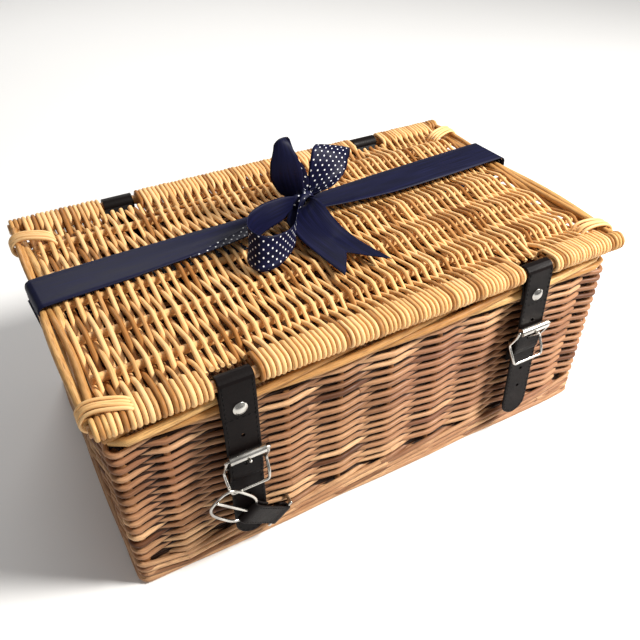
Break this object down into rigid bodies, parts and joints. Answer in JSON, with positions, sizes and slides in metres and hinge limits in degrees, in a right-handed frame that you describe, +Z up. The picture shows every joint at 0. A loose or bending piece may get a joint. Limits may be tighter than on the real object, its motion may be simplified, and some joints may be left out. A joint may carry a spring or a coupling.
{
  "type": "wicker picnic basket",
  "caption": "Rectangular woven willow picnic basket with a hinged flat lid, leather straps with roller buckles and a ribbon tied in a bow round the lid.",
  "frame": {"origin": "centre of the underside, on the floor plane", "axes": "+X along the length to the right seen from the front, -Y towards the front with the buckles, +Z up"},
  "size_m": [0.4366, 0.2767, 0.2453],
  "materials": {
    "willow_wall": "smooth peeled willow",
    "willow_lid": "smooth peeled willow, sunlit tone",
    "willow_rods": "smooth peeled willow",
    "strap_leather": "satin coated leather with edge stitching",
    "nickel": "nickel-plated wire, slightly worn",
    "satin_ribbon": "navy satin, dotted on one face"
  },
  "bodies": {
    "basket": {"base_weave": "willow_wall", "base_sticks": "willow_rods", "foot_wale": "willow_wall", "wall_weave": "willow_wall", "wall_stakes": "willow_rods", "corner_posts": "willow_rods", "rim_border": "willow_rods", "hinge_strap_left": "strap_leather", "hinge_strap_right": "strap_leather", "hinge_rivets": "nickel", "buckle_chape_left": "strap_leather", "buckle_chape_right": "strap_leather", "chape_rivets": "nickel", "loose_anchor": "nickel"},
    "lid": {"lid_weave": "willow_lid", "lid_sticks": "willow_rods", "lid_front_stick": "willow_rods", "lid_back_stick": "willow_rods", "lid_end_rods_left": "willow_rods", "lid_end_rods_right": "willow_rods", "binding_front_left": "willow_lid", "binding_front_right": "willow_lid", "binding_back_left": "willow_lid", "binding_back_right": "willow_lid", "ribbon_band": "satin_ribbon", "bow_knot": "satin_ribbon", "bow_loop_left": "satin_ribbon", "bow_loop_right": "satin_ribbon", "bow_loop_low": "satin_ribbon", "bow_tail_front": "satin_ribbon", "bow_tail_back": "satin_ribbon"},
    "strap_left": {"lid_strap_left": "strap_leather", "strap_rivet_left": "nickel"},
    "buckle_left": {"buckle_frame_left": "nickel"},
    "roller_left": {"buckle_roller_left": "nickel"},
    "prong_left": {"buckle_prong_left": "nickel"},
    "strap_right": {"lid_strap_right": "strap_leather", "strap_rivet_right": "nickel"},
    "buckle_right": {"buckle_frame_right": "nickel"},
    "roller_right": {"buckle_roller_right": "nickel"},
    "prong_right": {"buckle_prong_right": "nickel"},
    "loose_strap": {"loose_strap": "strap_leather"},
    "loose_buckle": {"loose_buckle_frame": "nickel"},
    "loose_prong": {"loose_buckle_prong": "nickel"}
  },
  "joints": [
    {"name": "lid_hinge", "type": "hinge", "parent": "basket", "child": "lid", "pos_m": [0, 0.124, 0.168], "axis": [-1, 0, 0], "range_deg": [0, 105]},
    {"name": "strap_left_swing", "type": "hinge", "parent": "lid", "child": "strap_left", "pos_m": [-0.124, -0.124, 0.168], "axis": [-1, 0, 0], "range_deg": [-60, 0], "deforming": ["lid_strap_left"]},
    {"name": "buckle_left_swing", "type": "hinge", "parent": "basket", "child": "buckle_left", "pos_m": [-0.124, -0.12862, 0.09414], "axis": [1, 0, 0], "range_deg": [0, 12]},
    {"name": "roller_left_spin", "type": "hinge", "parent": "buckle_left", "child": "roller_left", "pos_m": [-0.124, -0.13712, 0.11061], "axis": [1, 0, 0], "continuous": true},
    {"name": "prong_left_swing", "type": "hinge", "parent": "buckle_left", "child": "prong_left", "pos_m": [-0.124, -0.12862, 0.09414], "axis": [1, 0, 0], "range_deg": [0, 60]},
    {"name": "strap_right_swing", "type": "hinge", "parent": "lid", "child": "strap_right", "pos_m": [0.124, -0.124, 0.168], "axis": [-1, 0, 0], "range_deg": [-60, 0], "deforming": ["lid_strap_right"]},
    {"name": "buckle_right_swing", "type": "hinge", "parent": "basket", "child": "buckle_right", "pos_m": [0.124, -0.12815, 0.10313], "axis": [1, 0, 0], "range_deg": [0, 12]},
    {"name": "roller_right_spin", "type": "hinge", "parent": "buckle_right", "child": "roller_right", "pos_m": [0.124, -0.13665, 0.1196], "axis": [1, 0, 0], "continuous": true},
    {"name": "prong_right_swing", "type": "hinge", "parent": "buckle_right", "child": "prong_right", "pos_m": [0.124, -0.12815, 0.10313], "axis": [1, 0, 0], "range_deg": [0, 60]},
    {"name": "loose_strap_swing", "type": "hinge", "parent": "basket", "child": "loose_strap", "pos_m": [-0.1, -0.1309, 0.022], "axis": [0.766, 0, 0.6428], "range_deg": [0, 50]},
    {"name": "loose_buckle_swing", "type": "hinge", "parent": "loose_strap", "child": "loose_buckle", "pos_m": [-0.12764, -0.14045, 0.05494], "axis": [0.766, 0, 0.6428], "range_deg": [0, 80]},
    {"name": "loose_prong_swing", "type": "hinge", "parent": "loose_buckle", "child": "loose_prong", "pos_m": [-0.12764, -0.14045, 0.05494], "axis": [0.766, 0, 0.6428], "range_deg": [0, 80]}
  ],
  "couplings": [
    {"joint": "strap_left_swing", "follows": "lid_hinge", "ratio": -0.55},
    {"joint": "strap_right_swing", "follows": "lid_hinge", "ratio": -0.55}
  ]
}
